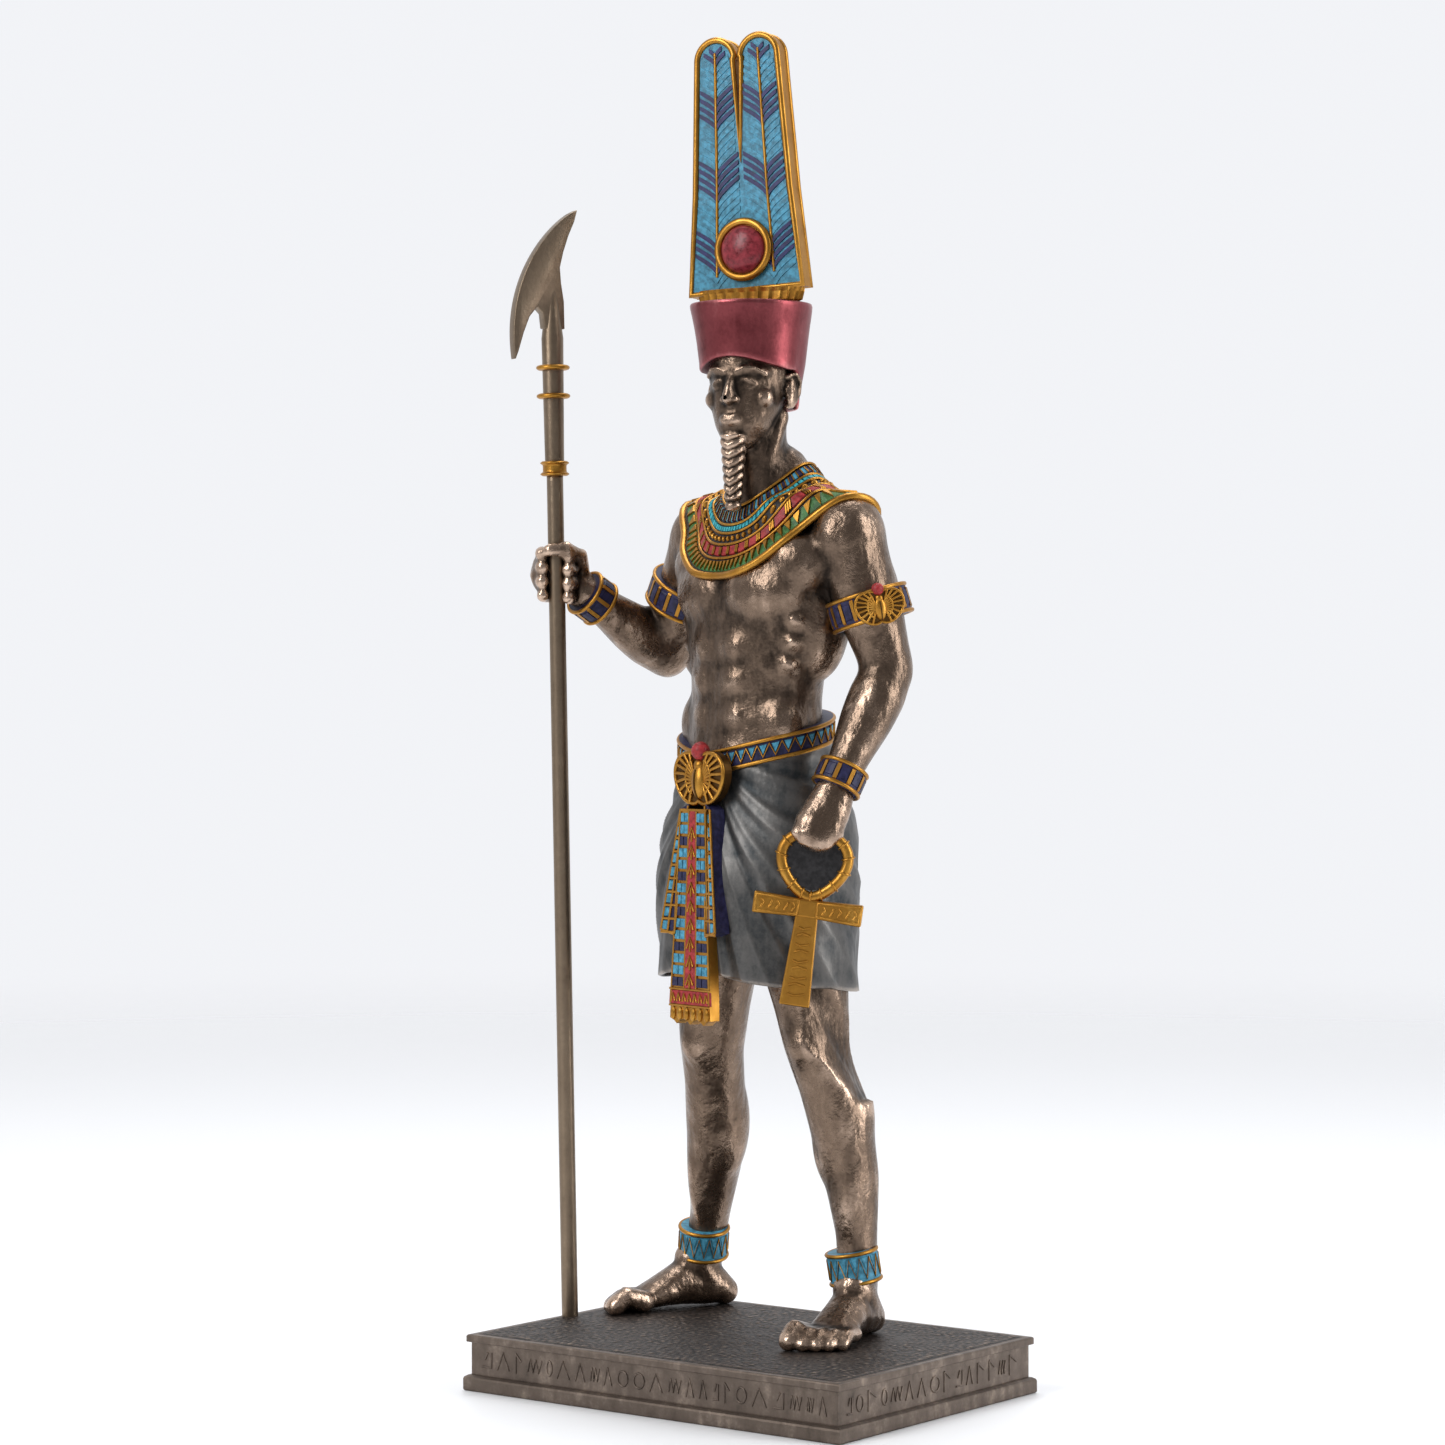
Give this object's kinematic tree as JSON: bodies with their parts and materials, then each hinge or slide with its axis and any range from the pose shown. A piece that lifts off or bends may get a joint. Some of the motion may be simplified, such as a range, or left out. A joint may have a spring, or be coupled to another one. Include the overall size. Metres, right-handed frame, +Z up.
{
  "type": "ancient egyptian god statuette",
  "caption": "Painted cast statuette of a striding god in a tall plumed crown, holding a bladed staff and an ankh, on a rectangular plinth.",
  "frame": {"origin": "centre of the plinth's underside", "axes": "+Z up, the plinth's long front faces -Y, and the figure's left is +X"},
  "size_m": [0.1022, 0.072, 0.2891],
  "materials": {
    "plinth": "cold-cast resin with a dark bronze patina",
    "figure": "cold-cast resin, rubbed bronze with painted collar, belt and bands",
    "plumes": "cold-cast resin, painted blue with gold edges",
    "staff_rod": "plain metal rod toned bronze",
    "staff_head": "cold-cast resin, bronze with gold rings",
    "ankh": "cold-cast resin, antique gold"
  },
  "bodies": {
    "root": {"plinth": "plinth", "figure": "figure", "plumes": "plumes", "staff_rod": "staff_rod", "staff_head": "staff_head", "ankh": "ankh"}
  },
  "joints": []
}
